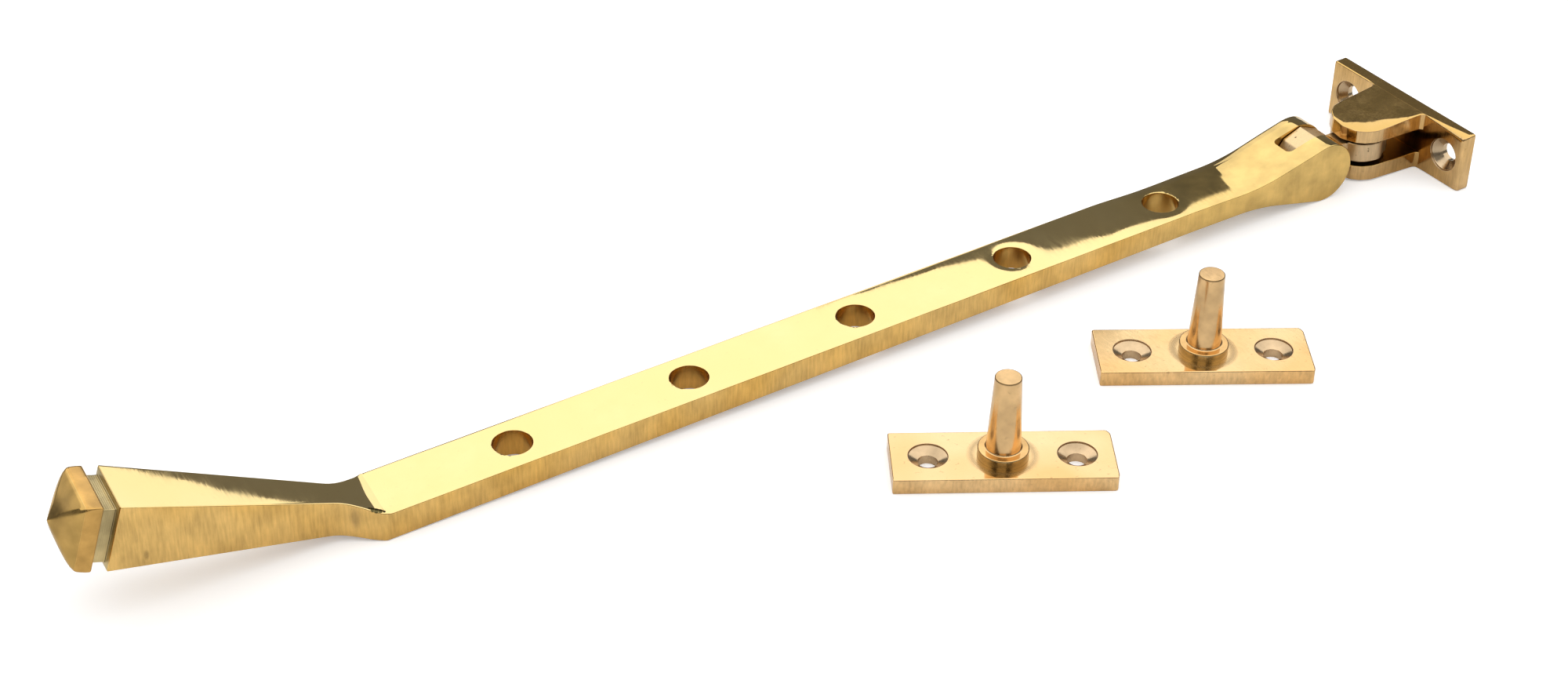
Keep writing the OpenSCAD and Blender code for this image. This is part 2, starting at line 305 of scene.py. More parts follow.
def blendColour(n, links, mask, below, above):
    # below where the mask is 0, above where it is 1; either is a colour or a socket
    mix = n.new("ShaderNodeMix")
    mix.data_type = "RGBA"
    links.new(mask, mix.inputs["Factor"])
    for label, value in (("A", below), ("B", above)):
        if isinstance(value, tuple):
            mix.inputs[label].default_value = (*value, 1)
        else:
            links.new(value, mix.inputs[label])
    return mix.outputs["Result"]


def mottle(n, links, cloud, colour):
    # a colour, or a socket that gives one, up to a quarter darker or lighter by the cloud
    shade = n.new("ShaderNodeMapRange")
    links.new(cloud, shade.inputs["Value"])
    for label, value in grain["mottle"].items():
        shade.inputs[label].default_value = value
    scale = n.new("ShaderNodeVectorMath")
    scale.operation = "SCALE"
    if isinstance(colour, tuple):
        scale.inputs[0].default_value = colour
    else:
        links.new(colour, scale.inputs[0])
    links.new(shade.outputs[0], scale.inputs["Scale"])
    return scale.outputs["Vector"]


def vectorStep(n, links, operation, a, b):
    # one sum on a vector socket and a constant vector
    step = n.new("ShaderNodeVectorMath")
    step.operation = operation
    links.new(a, step.inputs[0])
    step.inputs[1].default_value = b
    return step.outputs["Value" if operation == "DOT_PRODUCT" else "Vector"]


def zoneReach(n, links, place, z):
    # how far a place is from where a zone is measured, in millimetres: along an axis, or
    # away from a line through the middle, or out of a box about the middle
    if "axis" in z:
        along = vectorStep(n, links, "DOT_PRODUCT", place, z["axis"])
        return math2(n, links, "MULTIPLY", math2(n, links, "SUBTRACT", along, z["at"]), 1000)
    away = vectorStep(n, links, "SUBTRACT", place, tuple(v * mm for v in z["middle"]))
    if "across" in z:
        flat = n.new("ShaderNodeVectorMath")
        flat.operation = "LENGTH"
        links.new(vectorStep(n, links, "MULTIPLY", away, tuple(v / mm for v in z["across"])),
                  flat.inputs[0])
        return flat.outputs["Value"]
    size = n.new("ShaderNodeVectorMath")
    size.operation = "ABSOLUTE"
    links.new(away, size.inputs[0])
    over = vectorStep(n, links, "SUBTRACT", size.outputs["Vector"],
                      tuple(v * mm for v in z["half"]))
    parts = n.new("ShaderNodeSeparateXYZ")
    links.new(over, parts.inputs[0])
    most = math2(n, links, "MAXIMUM", math2(n, links, "MAXIMUM", parts.outputs["X"],
                                            parts.outputs["Y"]), parts.outputs["Z"])
    return math2(n, links, "MULTIPLY", most, 1000)


def makeMetal(name, f):
    # one metal: deep and bright tones mixed by the cloud, both drifting to a warm one; a darker
    # tone on the sides, which is painted shade; other tones in each zone, which is 1 between its
    # two reaches; dark specks
    material = bpy.data.materials.new(name)
    material.use_nodes = True
    n, links = material.node_tree.nodes, material.node_tree.links
    surface = n["Principled BSDF"]
    surface.inputs["Metallic"].default_value = 1
    marks = n.new("ShaderNodeGroup")
    marks.node_tree = polishMarks
    for label, value in (("Across", f["across"]), ("Line Depth", f["lines"]),
                         ("Wave Depth", f["waves"]), ("Rough Low", f["rough"][0]),
                         ("Rough High", f["rough"][1])):
        marks.inputs[label].default_value = value
    colour = blendColour(n, links, marks.outputs["Cloud"], f["deep"], f["colour"])
    roughness = marks.outputs["Roughness"]
    where = n.new("ShaderNodeTexCoord")
    # faces that don't look up are duller, as on a part polished on top only, and they are given
    # a darker, deeper colour, which is painted shade
    facing = n.new("ShaderNodeSeparateXYZ")
    links.new(where.outputs["Normal"], facing.inputs[0])
    side = math2(n, links, "SUBTRACT", 1, ramp(n, links, facing.outputs["Z"],
                                               grain["sideFrom"], grain["sideTo"]))
    # a slow drift towards a warmer tint
    drift = ramp(n, links, noise(n, links, where.outputs["Object"], grain["drift"], 2),
                 grain["driftFrom"], grain["driftTo"])
    colour = blendColour(n, links, drift, colour, f["warm"])
    # painted shade: the darker colour of faces that don't look up
    shadedSideTone = mottle(n, links, marks.outputs["Streak"],
                      blendColour(n, links, drift, f["side"], f["shadedSideWarm"]))
    colour = blendColour(n, links, side, colour, shadedSideTone)
    roughness = math2(n, links, "ADD", roughness,
                      math2(n, links, "MULTIPLY", side, f["sideRough"]))
    height = marks.outputs["Height"]
    for z in f.get("zones", ()):
        reach = zoneReach(n, links, where.outputs["Object"], z)
        soft = z.get("soft", 0.1)
        zone = math2(n, links, "MULTIPLY", ramp(n, links, reach, z["from"], z["from"] + soft),
                     math2(n, links, "SUBTRACT", 1, ramp(n, links, reach, z["to"],
                                                         z["to"] + soft)))
        mottled = mottle(n, links, marks.outputs["Cloud"], z["tone"])
        colour = blendColour(n, links, math2(n, links, "MULTIPLY", zone, z.get("share", 1)),
                             colour, mottled)
        roughness = math2(n, links, "ADD", roughness,
                          math2(n, links, "MULTIPLY", zone, z.get("rough", 0)))
        if "rings" in z:
            wave = math2(n, links, "SINE", math2(n, links, "MULTIPLY", reach,
                                                 2 * math.pi / z["rings"][0]), 0)
            height = math2(n, links, "ADD", height, math2(
                n, links, "MULTIPLY", math2(n, links, "MULTIPLY", wave, zone), z["rings"][1]))
    speck = math2(n, links, "MULTIPLY", marks.outputs["Speck"], f["specks"])
    colour = blendColour(n, links, speck, colour, tuple(v * 0.25 for v in f["deep"]))
    links.new(colour, surface.inputs["Base Color"])
    links.new(roughness, surface.inputs["Roughness"])
    bump = n.new("ShaderNodeBump")
    bump.inputs["Distance"].default_value = 0.1 * mm
    links.new(height, bump.inputs["Height"])
    links.new(bump.outputs["Normal"], surface.inputs["Normal"])
    return material


finishes = {  # linear colours, the side tones being painted shade for faces that don't look up; line and wave depths in tenths of a millimetre
    "armBrass": {"colour": (0.92, 0.71, 0.34), "deep": (0.87, 0.64, 0.27),
                 "warm": (0.90, 0.67, 0.29), "side": (0.70, 0.45, 0.15),
                 "shadedSideWarm": (0.68, 0.40, 0.10), "sideRough": 0.16,
                 "across": (1, 0.12, 0.12), "lines": 0.007, "waves": 0.05,
                 "rough": (0.015, 0.045), "specks": 0.06},
    "bracketBronze": {"colour": (0.72, 0.48, 0.18), "deep": (0.62, 0.39, 0.12),
                      "warm": (0.70, 0.44, 0.14), "side": (0.62, 0.41, 0.19),
                      "shadedSideWarm": (0.56, 0.34, 0.12), "sideRough": 0.06,
                      "across": (1, 1, 0.12), "lines": 0.03, "waves": 0.15,
                      "rough": (0.05, 0.12), "specks": 0.35},
    "linkBronze": {"colour": (0.86, 0.66, 0.36), "deep": (0.66, 0.47, 0.26),
                   "warm": (0.78, 0.56, 0.30), "side": (0.62, 0.45, 0.26),
                   "shadedSideWarm": (0.52, 0.36, 0.19), "sideRough": 0.1, "across": (1, 1, 0.2),
                   "lines": 0.10, "waves": 0.3, "rough": (0.22, 0.42), "specks": 1.0},
    "pinBronze": {"colour": (0.88, 0.66, 0.36), "deep": (0.80, 0.55, 0.27),
                  "warm": (0.80, 0.50, 0.21), "side": (0.78, 0.53, 0.26),
                  "shadedSideWarm": (0.74, 0.45, 0.18), "sideRough": 0.1, "across": (1, 0.3, 0.3),
                  "lines": 0.008, "waves": 0.1, "rough": (0.05, 0.12), "specks": 0.3},
}
print("finishes ready")


armSizes = {  # millimetres and degrees; pivot at the origin, bar along -X
    "eyeRadius": 7.6, "eyeHalfWidth": 8.015, "flareAngle": 14, "flareRadius": 50,
    "barHalfWidth": 7.5, "barHalfAtEye": 2.8, "barHalfAtBend": 3.3,
    "eyeToHole": 44.2, "holePitch": 42.5, "holeCount": 5, "holeToBend": 32.4,
    "holeRadius": 4.2, "rimRadius": 0.35,
    "slotHalfWidth": 3.0, "slotDepth": 8.2, "slotCorner": 1.3,
    "rise": 18, "yaw": 5.2, "bodyLength": 55.8, "neckHalf": 2.9, "endHalf": 7.4,
    "shoulder": (-0.6, 9.4), "shoulderKink": 0.5, "bendRadius": 9,
    "edgeRadius": 0.25, "crown": 0.07, "handleCrown": 0.02, "wave": 0.01,
    "dish": 0.05, "dishReach": 1.3, "farRoll": 0.5, "farRollWidth": 2.6,
    # from the pivot: where the bar's width is reached, where the worn far edge ends and the
    # length over which it fades
    "eyeFallTo": 40, "farRollEnd": (60, 16), "farRollPower": 1.35,
    # size, length along, length across and shift of each slow wave of the top; how far from
    # the bend and the pivot they end, and the length over which they fade
    "waves": ((1, 4.1, 6, 0), (0.8, 6.7, -4.5, 2), (0.5, 2.6, 3.2, 1)),
    "waveEnds": (2, 12, 10),
    # the knob's edges are rounder: from where past the bend, over what length, by how much
    "rounder": (57, 4, 0.95),
    # chip in the near edge: its two ends in the row frame, its radius and half length
    "chip": ((-282.2, 4.4, 0.05), (-279.7, 2.8, -0.75)), "chipRadius": 0.6,
    "chipHalf": 1.75,
    # groove and band: places along the handle, and half the square's side at each
    "knob": ((55.95, 7.22), (56.0, 7.02), (56.1, 6.2), (56.25, 6.1), (57.4, 6.07),
             (58.75, 6.1), (58.9, 6.2), (59.0, 7.02), (59.05, 7.22), (59.2, 7.36),
             (59.4, 7.4), (60.2, 7.4), (61.2, 7.4), (61.9, 7.38), (62.15, 7.33),
             (62.4, 7.2)),
    # domed pyramid: where it starts, its height, half side and roundness
    "dome": (62.62, 4.18, 7.02, 1.35),
}
handleZones = (  # millimetres from the bend: the groove, painted shade along its two inner corners, the knob's band, its pyramid
    {"from": 55.9, "to": 58.9, "tone": (0.52, 0.41, 0.20), "rough": 0.22,
     "rings": (0.42, 0.06)},
    # painted shade in the groove's two inner corners
    {"from": 56.12, "to": 56.3, "tone": (0.10, 0.07, 0.03), "rough": 0.2, "share": 0.7},
    {"from": 58.62, "to": 58.85, "tone": (0.10, 0.065, 0.025), "rough": 0.2, "share": 0.7},
    {"from": 58.95, "to": 62.4, "tone": (0.58, 0.34, 0.10), "rough": 0.1},
    {"from": 62.4, "to": 80, "tone": (0.48, 0.30, 0.09), "rough": 0.06},
)
brassZones = (  # millimetres in the row frame: the paler flare, and small blemishes
    {"axis": (1, 0, 0), "at": 0, "from": -92, "to": 50, "soft": 26,
     "tone": (0.63, 0.43, 0.14), "share": 0.75},
    {"middle": (-285.0, 5.2, -1.7), "across": (1, 1, 0.35), "from": -1, "to": 0.45,
     "soft": 0.8, "tone": (0.30, 0.20, 0.09), "share": 0.5, "rough": 0.2},
    {"middle": (-327.5, 8.4, 6.0), "across": (1, 1, 0.5), "from": -1, "to": 0.3,
     "soft": 0.4, "tone": (0.34, 0.22, 0.08), "share": 0.55, "rough": 0.1},
)
placing = {  # where the arm lies and the two pins' bevel, millimetres and degrees
    "floor": -7.45, "swingX": -15.8, "pivotSpan": 17.2, "armTurn": -2, "linkZ": 0.15,
    "pinBevel": 0.1,
}


def sideCurves(a):
    # side view as paired top and bottom points (p, z), p growing from the eye to the knob:
    # the eye is a circle, its flank falls at the flare angle, an arc carries it into the
    # bar, a second arc carries the bar's top into the handle, and the heel is a corner
    rad = math.radians
    radius, flare = a["eyeRadius"], rad(a["flareAngle"])
    bend = a["eyeToHole"] + (a["holeCount"] - 1) * a["holePitch"] + a["holeToBend"]
    rise = rad(a["rise"])
    along = np.array([math.cos(rise), math.sin(rise)])
    above = np.array([-math.sin(rise), math.cos(rise)])
    mitre = a["barHalfAtBend"] / math.cos(rise / 2)
    mitreTop = mitre * np.array([-math.sin(rise / 2), math.cos(rise / 2)])
    heel = -mitreTop
    bodyTop = a["bodyLength"] * along + a["endHalf"] * above
    bodyBottom = a["bodyLength"] * along - a["endHalf"] * above
    flankTop = np.array([-bend + radius * math.sin(flare), radius * math.cos(flare)])
    run = (flankTop[1] - a["barHalfAtEye"]) / math.sin(flare)
    flankDir = np.array([math.cos(flare), -math.sin(flare)])
    foot = flankTop + run * flankDir
    barDir = (mitreTop - foot) / np.linalg.norm(mitreTop - foot)
    bodyDir = (bodyTop - mitreTop) / np.linalg.norm(bodyTop - mitreTop)

    def hollow(corner, fromDir, toDir, r, steps):
        # an arc of radius r that carries one line into the next, in place of their corner
        turn = math.acos(float(fromDir @ toDir))
        t = np.linspace(0, turn, steps)[:, None]
        normal = (toDir - math.cos(turn) * fromDir) / math.sin(turn)
        start = corner - r * math.tan(turn / 2) * fromDir
        return start + r * (np.sin(t) * fromDir + (1 - np.cos(t)) * normal)

    def line(start, end, step):
        # points at an even step from start to end, both ends left out
        count = max(2, int(np.linalg.norm(end - start) / step) + 1)
        t = np.linspace(0, 1, count)[1:-1, None]
        return start + t * (end - start)

    phi = np.linspace(math.pi, math.pi / 2 - flare, 44)[:, None]
    eyeTop = np.array([-bend, 0]) + radius * np.hstack([np.cos(phi), np.sin(phi)])
    flareArc = hollow(foot, flankDir, barDir, a["flareRadius"], 32)
    flank = line(flankTop, flareArc[0], 0.9)
    bendArc = hollow(mitreTop, barDir, bodyDir, a["bendRadius"], 13)
    bar = line(flareArc[-1], bendArc[0], 0.55)
    body = line(bendArc[-1], bodyTop, 0.9)
    top = np.vstack([eyeTop, flank, flareArc, bar, bendArc, body, bodyTop])
    upTo = len(eyeTop) + len(flank) + len(flareArc)
    mirror = np.array([1, -1])
    barEnd = flareArc[-1] * mirror
    # the bottom of the bar pairs with its top; the heel sits at the middle of the bend
    back = heel - (barDir * mirror) * np.linspace(1.9, 0, 7)[:-1, None] ** 1.3
    ahead = heel + ((bodyBottom - heel) / np.linalg.norm(bodyBottom - heel)
                    ) * np.linspace(0, 1.7, 7)[1:, None] ** 1.3
    barBottom = barEnd + np.linspace(0, 1, len(bar) + 2)[1:-1, None] * (back[0] - barEnd)
    bodyBottomLine = ahead[-1] + np.linspace(0, 1, len(body) + 2)[1:, None] * (
        bodyBottom - ahead[-1])
    bottom = np.vstack([top[:upTo] * mirror, barBottom, back, heel[None], ahead,
                        bodyBottomLine])
    return top, bottom, bend, along, above


def outlineNormals(line, up):
    # unit normals of an open line, on its left where up is 1 and on its right where it is -1
    t = np.gradient(line, axis=0)
    n = np.stack([-t[:, 1], t[:, 0]], axis=1) * up
    return n / np.linalg.norm(n, axis=1, keepdims=True)


def armSurface(a):
    # the arm as rings: each is a rounded rectangle between a top and a bottom point, its
    # faces a little crowned, with slow waves from hand polishing on the top
    top, bottom, bend, along, above = sideCurves(a)
    normalTop, normalBottom = outlineNormals(top, 1), outlineNormals(bottom, -1)
    normalTop[0] = normalBottom[0] = (-1, 0)
    # plan: the half width falls evenly from the eye's to the bar's, then at the shoulder to
    # the neck's, half by a parabola and half by a cosine wave
    p = (top[:, 0] + bottom[:, 0]) / 2
    eyeFall = np.clip((p + bend - a["eyeRadius"]) / (a["eyeFallTo"] - a["eyeRadius"]), 0, 1)
    half = a["eyeHalfWidth"] + (a["barHalfWidth"] - a["eyeHalfWidth"]) * eyeFall
    bodyHalf = a["neckHalf"] + (a["endHalf"] - a["neckHalf"]) * np.clip(
        p / math.cos(math.radians(a["rise"])), 0, None) / a["bodyLength"]
    start, stop = a["shoulder"]
    t = np.clip((p - start) / (stop - start), 0, 1)
    fall = a["shoulderKink"] * t * (2 - t) + (1 - a["shoulderKink"]) * (1 - np.cos(np.pi * t)) / 2
    half = half + (bodyHalf - half) * fall
    half[-1] = a["endHalf"]
    # groove, band and pyramid: s along the handle and half the square's side
    start, height, side, power = a["dome"]
    t = np.linspace(0, 1, 22)[:, None]
    dome = np.hstack([start + height * np.sin(t * np.pi / 2), side * (1 - np.sin(
        t * np.pi / 2) ** power)])
    knob = np.vstack([a["knob"], dome])
    s, h = knob[:, :1], knob[:, 1:]
    top = np.vstack([top, s * along + h * above])
    bottom = np.vstack([bottom, s * along - h * above])
    normalTop = np.vstack([normalTop, np.repeat(above[None], len(knob), 0)])
    normalBottom = np.vstack([normalBottom, -np.repeat(above[None], len(knob), 0)])
    half = np.concatenate([half, knob[:, 1]])
    p = (top[:, 0] + bottom[:, 0]) / 2
    at, reach, more = a["rounder"]
    radius = np.minimum(a["edgeRadius"] + more * smoothStep((p - at) / reach), 0.45 * half)
    # ring pattern: parts of the half width, of the edge radius, of the inset, and of the top
    flat = np.r_[np.linspace(1, 0.45, 13)[:-1], np.linspace(0.45, -1, 11)]
    turn = np.linspace(0, np.pi / 2, 6)[1:]
    wall = np.linspace(1, 0, 8)[1:-1]
    yFlat = np.concatenate([flat, -np.ones(16), flat[::-1], np.ones(16)])
    yRound = np.concatenate([0 * flat, -np.sin(turn), -np.ones(6), -np.sin(turn[::-1])])
    inset = np.concatenate([0 * flat, 1 - np.cos(turn), np.ones(6), 1 - np.cos(turn[::-1])])
    share = np.concatenate([np.ones(len(flat) + 5), wall, np.zeros(5)])
    yRound = np.concatenate([yRound, -yRound])
    inset = np.concatenate([inset, inset])
    share = np.concatenate([share, 1 - share])
    y = yFlat * (half - radius)[:, None] + yRound * radius[:, None]
    along2 = p[:, None]
    crown = a["crown"] + (a["handleCrown"] - a["crown"]) * smoothStep((along2 + 2) / 6)
    offset = inset * radius[:, None] + crown * yFlat ** 2 * (half / 8)[:, None]
    wave = sum(size * np.sin(along2 / long + y / wide + shift)
               for size, long, wide, shift in a["waves"])
    # the waves die out before the bend and before the pivot
    fromBend, fromPivot, fade = a["waveEnds"]
    onBar = (smoothStep((-p - fromBend) / fade)
             * smoothStep((p + bend - fromPivot) / fade))[:, None]
    offset = offset + a["wave"] * wave * onBar * (share > 0.5)
    # the far edge of the flare is worn round, most at the edge itself
    end, fade = a["farRollEnd"]
    onFlare = smoothStep((end - along2 - bend) / fade) * smoothStep((along2 + bend + 5) / 6)
    nearFar = np.clip((y - half[:, None]) / a["farRollWidth"] + 1, 0, 1)
    offset = offset + a["farRoll"] * nearFar ** a["farRollPower"] * onFlare * (share > 0.5)
    # polishing has worn a shallow dish round each hole, falling off by the dish's reach
    for i in range(a["holeCount"]):
        away = np.hypot(along2 + bend - a["eyeToHole"] - i * a["holePitch"], y)
        offset = offset + a["dish"] * np.exp(
            (a["holeRadius"] - np.maximum(away, a["holeRadius"] - 1)) / a["dishReach"])
    offset = offset[:, :, None]
    ring = share[None, :, None]
    side = (ring * (top[:, None] - normalTop[:, None] * offset)
            + (1 - ring) * (bottom[:, None] - normalBottom[:, None] * offset))
    # the handle's half of the side view stands in a plane turned by the yaw
    yaw = math.radians(a["yaw"])
    across = smoothStep((p + 2) / 4)[:, None] * yaw
    q = side[..., 0]
    ahead = np.maximum(q, 0)
    px = -bend - np.minimum(q, 0) - ahead * math.cos(yaw) + y * np.sin(across)
    py = ahead * math.sin(yaw) + y * np.cos(across)
    points = np.stack([px, py, side[..., 1]], axis=2)
    return points.reshape(-1, 3), gridFaces(len(p), points.shape[1]), bend


def lieDown(points, bend, a, w):
    # arm frame to row frame: the arm leans until its eye and heel touch the floor, is turned
    # about the swing pivot, and moved to it
    rise = math.radians(a["rise"])
    mitre = a["barHalfAtBend"] / math.cos(rise / 2)
    heel = (-bend - mitre * math.sin(rise / 2), -mitre * math.cos(rise / 2))
    lean = math.asin(a["eyeRadius"] / math.hypot(*heel)) - math.atan(heel[1] / heel[0])
    turn = math.radians(w["armTurn"])
    x = points[:, 0] * math.cos(lean) - points[:, 2] * math.sin(lean) - w["pivotSpan"]
    z = points[:, 0] * math.sin(lean) + points[:, 2] * math.cos(lean)
    y = points[:, 1]
    return np.stack([w["swingX"] + x * math.cos(turn) - y * math.sin(turn),
                     x * math.sin(turn) + y * math.cos(turn),
                     z + w["floor"] + a["eyeRadius"]], axis=1)


def holeCutter(a, half):
    # a cylinder that opens in a quarter round at the bar's two faces
    r, rim = a["holeRadius"], a["rimRadius"]
    t = np.linspace(0, np.pi / 2, 6)
    upper = np.stack([r + rim * (1 - np.cos(t)), half - rim + 0.03 + rim * np.sin(t)], 1)
    return lathe(np.vstack([[[0, -half - 3], [r + rim, -half - 3]], (upper * (1, -1))[::-1],
                            upper, [[r + rim, half + 3], [0, half + 3]]]))


def slotCutter(a):
    # an upright block with rounded inner corners, open past the eye
    c, w, d = a["slotCorner"], a["slotHalfWidth"], a["slotDepth"]
    t = np.linspace(0, np.pi / 2, 9)
    corner = np.stack([c - d - c * np.sin(t), w - c + c * np.cos(t)], 1)
    edge = np.vstack([[[12, w]], corner, (corner * (1, -1))[::-1], [[12, -w]]])
    rings = [np.column_stack([edge[:1] + pull * (edge - edge[:1]), np.full(len(edge), z)])
             for z, pull in ((-14.0, 0), (-14.0, 1), (14.0, 1), (14.0, 0))]
    return np.vstack(rings), gridFaces(4, len(edge))


def buildArm():
    # the arm's surface less its holes, its slot and the chip
    a, finish = armSizes, finishes["armBrass"]
    points, faces, bend = armSurface(a)
    # the handle's axis in the row frame, for the zones of its finish
    rise, yaw = math.radians(a["rise"]), math.radians(a["yaw"])
    line = np.array([(0, 0, 0), (-math.cos(rise) * math.cos(yaw),
                                 math.cos(rise) * math.sin(yaw), math.sin(rise))])
    start, stop = lieDown(line + (-bend, 0, 0), bend, a, placing)
    axis, at = tuple(stop - start), float((stop - start) @ start) * mm
    # a chip in the near edge, just before the bend, is cut out and dark
    first, last = np.array(a["chip"])
    dark = ({"middle": tuple(first + share * (last - first)), "across": (1, 1, 1), "from": -1,
             "to": reach, "tone": (0.12, 0.10, 0.04), "rough": 0.3}
            for share, reach in ((0.02, 0.35), (0.26, 0.6), (0.5, 0.68), (0.74, 0.6),
                                 (0.98, 0.35)))
    finish["zones"] = [*brassZones, *({"axis": axis, "at": at, **z} for z in handleZones),
                       *dark]
    brass = makeMetal("armBrass", finish)
    piece = makePiece("stayArm", lieDown(points, bend, a, placing), faces, brass)
    closeSeams(piece)
    cutters = []
    for i in range(a["holeCount"]):
        x = -a["eyeToHole"] - i * a["holePitch"]
        half = a["barHalfAtEye"] + (a["barHalfAtBend"] - a["barHalfAtEye"]) * (
            -x - 30) / (bend - 30)
        ring, quads = holeCutter(a, half)
        cutters.append(makePiece("cut", lieDown(ring + (x, 0, 0), bend, a, placing), quads,
                                 brass))
    ring, quads = slotCutter(a)
    cutters.append(makePiece("cut", lieDown(ring, bend, a, placing), quads, brass))
    for cutter in cutters:
        closeSeams(cutter)
    turn = np.linspace(0, np.pi, 13)
    ring, quads = lathe(np.stack([a["chipRadius"] * np.sin(turn),
                                  -a["chipHalf"] * np.cos(turn)], axis=1), 24)
    chip = makePiece("cut", ring, quads, brass)
    tilt = Vector(last - first).to_track_quat("Z", "Y").to_matrix().to_4x4()
    chip.data.transform(Matrix.Translation(Vector((first + last) / 2 * mm)) @ tilt)
    closeSeams(chip)
    combine(piece, "DIFFERENCE", [*cutters, chip], 32)
    finishPiece(piece, "arm", ["arm"])
    finishPiece(fromNode("arm_pivot_pin", "eyePin", brass, placing["pinBevel"]), "arm",
                ["arm_pivot_pin"])


buildArm()
print("arm ready")


screwHole = {"bore": 2.2, "mouth": 4.05, "slope": 0.8, "rim": 0.12, "wall": 0.45,
             "through": 6}  # millimetres; slope is the cone's depth over its width
pinHole = {**screwHole, "bore": 2.1, "mouth": 4.2, "slope": 0.48, "wall": 0.3}
bracketSizes = {  # millimetres; plate back at X = 0, swing pivot upright at swingX
    "halfLength": 22.3, "halfHeight": 7.45, "thick": 3.6, "noseRadius": 7.4,
    "rootHalf": 8.2, "fillet": 1.1, "gapHalf": 3.2, "fall": 0.45, "fallLength": 20.5,
    "noseCuts": (90, 112, 133, 157, 187, 217, 236, 257, 270), "screwPitch": 32.6,
    "hub": (-3.3, 0), "sink": 0.004,
    # how wide and how deep the upper ear's edge is worn, by the angle about the pivot
    "wornWide": ((90, 0.5), (150, 0.5), (180, 1.0), (210, 3.6), (255, 4.0), (290, 3.0),
                 (318, 0.5), (340, 0.1), (20, 0.1), (45, 0.4)),
    "wornDeep": ((90, 0.2), (150, 0.2), (180, 0.3), (210, 0.7), (255, 0.75), (290, 0.6),
                 (318, 0.25), (340, 0.05), (20, 0.05), (45, 0.2)),
    "lowerWide": 0.5, "lowerDeep": 0.25,
    # how wide and how deep the plate's front edge is worn: hardly at the ears, on top more
    # and more towards the near end (least, growth and its power), and round the two ends
    "plateWear": {"least": 0.012, "from": 9, "earEnd": 8.4, "earFade": 2.5, "endReach": 0.35,
                  "topWide": (0.45, 1.3, 1.6), "topDeep": (0.35, 1.9, 1.4),
                  "lowWide": 0.35, "lowDeep": 0.3, "nearWide": 1.25, "nearDeep": (0.9, 1.9),
                  "farWide": 0.5, "farDeep": 0.5},
    # near-black painted shade in the hollow of the fork: middle and half size
    "fork": ((-13.8, 0, 0), (10, 8, 3.25)),
}


def earOutline(b, swingX):
    # plan of an ear: a nose ground in flats between the cut angles, flanks that widen to
    # the root, quarter rounds at the plate, and an end inside the plate
    cuts = np.radians(b["noseCuts"])
    nose = np.stack([swingX + b["noseRadius"] * np.cos(cuts),
                     b["noseRadius"] * np.sin(cuts)], axis=1)
    front, root, r = -b["thick"], b["rootHalf"], b["fillet"]
    t = np.linspace(0, np.pi / 2, 10)
    blend = np.stack([front - r + r * np.sin(t), root + r - r * np.cos(t)], axis=1)
    end = np.array([[front + 2.4, root + r]])
    side = np.vstack([blend, end])
    return evenLine(np.vstack([nose, side * (1, -1), side[::-1]]), 0.25, 2)


def rollAround(outline, centre, marks):
    # a value that changes round an outline: marks are (angle, value) seen from the centre
    angle = np.degrees(np.arctan2(outline[:, 1] - centre[1], outline[:, 0] - centre[0])) % 360
    marks = np.array(sorted(marks), float)
    marks = np.vstack([marks[-1] - (360, 0), marks, marks[0] + (360, 0)])
    return np.interp(angle, marks[:, 0], marks[:, 1])


